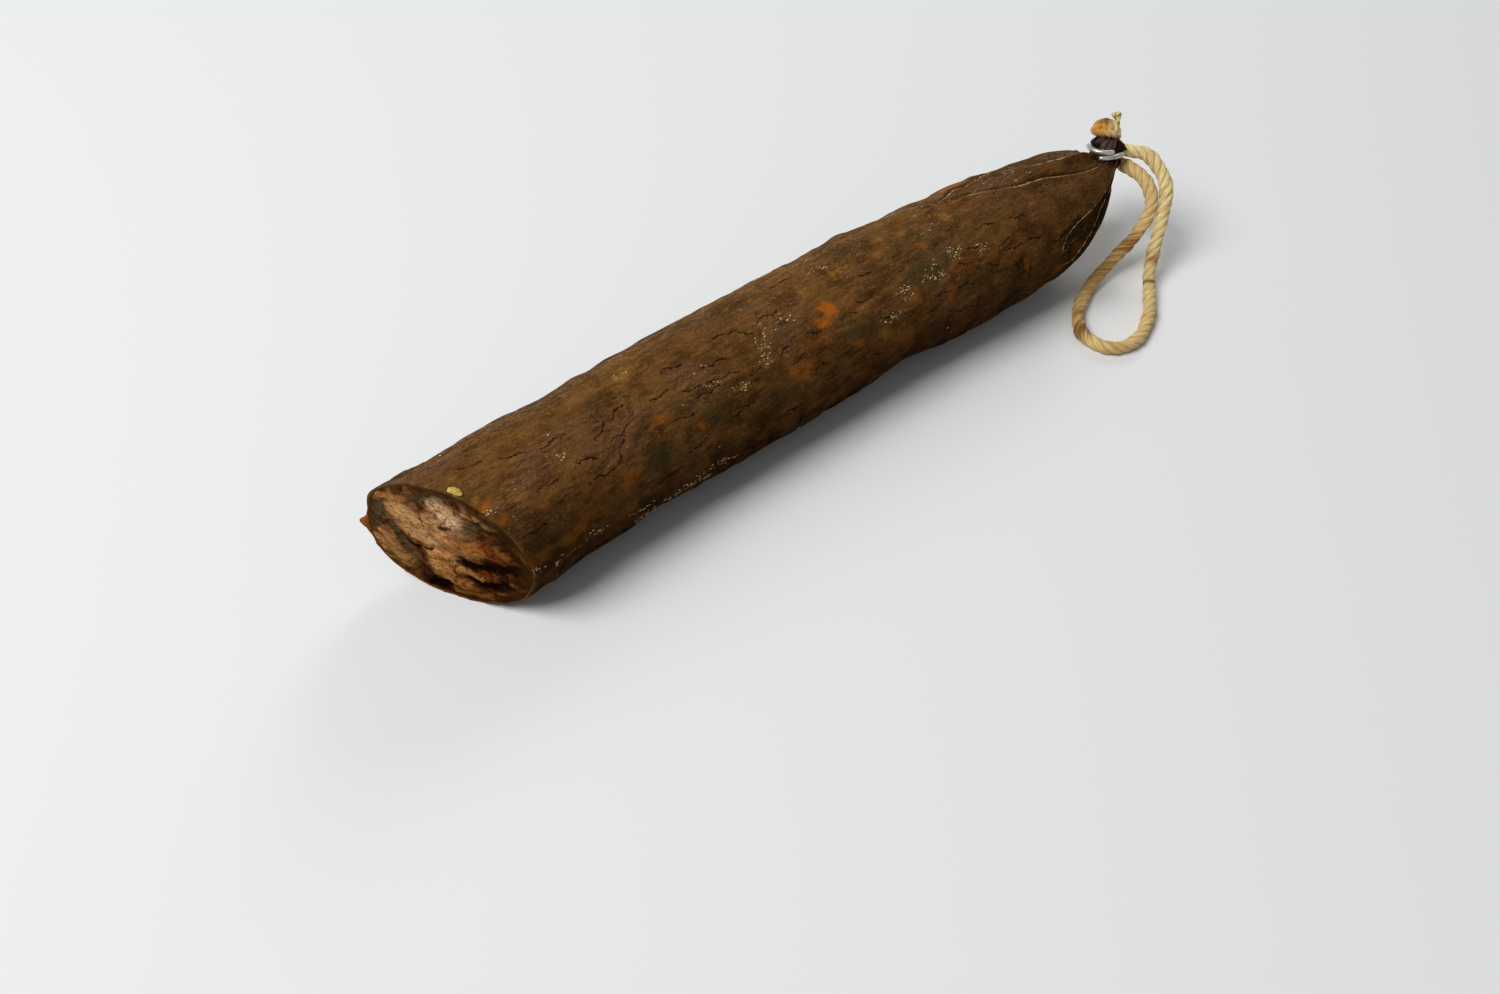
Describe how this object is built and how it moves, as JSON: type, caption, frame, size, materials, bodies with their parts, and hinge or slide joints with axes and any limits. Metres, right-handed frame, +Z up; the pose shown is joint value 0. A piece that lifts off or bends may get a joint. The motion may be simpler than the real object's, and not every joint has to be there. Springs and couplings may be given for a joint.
{
  "type": "cut dry-cured wild boar salchichon",
  "caption": "Long dry-cured sausage with wrinkled dark skin, one slanted cut face, and a gathered end held by a wire clip with a hanging loop of twine.",
  "frame": {"origin": "under the middle of the sausage, on the surface it lies on, measured without the twine", "axes": "+Z up; +X along the sausage, from the slanted cut to the clipped end"},
  "size_m": [0.3705, 0.1015, 0.0582],
  "materials": {
    "casing": "dark brown wrinkled skin, satin",
    "meat": "coarse cured meat, moist satin",
    "clip": "dull drawn wire",
    "twine": "twisted plant fibre, matt"
  },
  "bodies": {
    "root": {"casing": "casing", "meat": "meat", "wire_clip": "clip", "twine_knot": "twine", "twine_loop": "twine"}
  },
  "joints": []
}
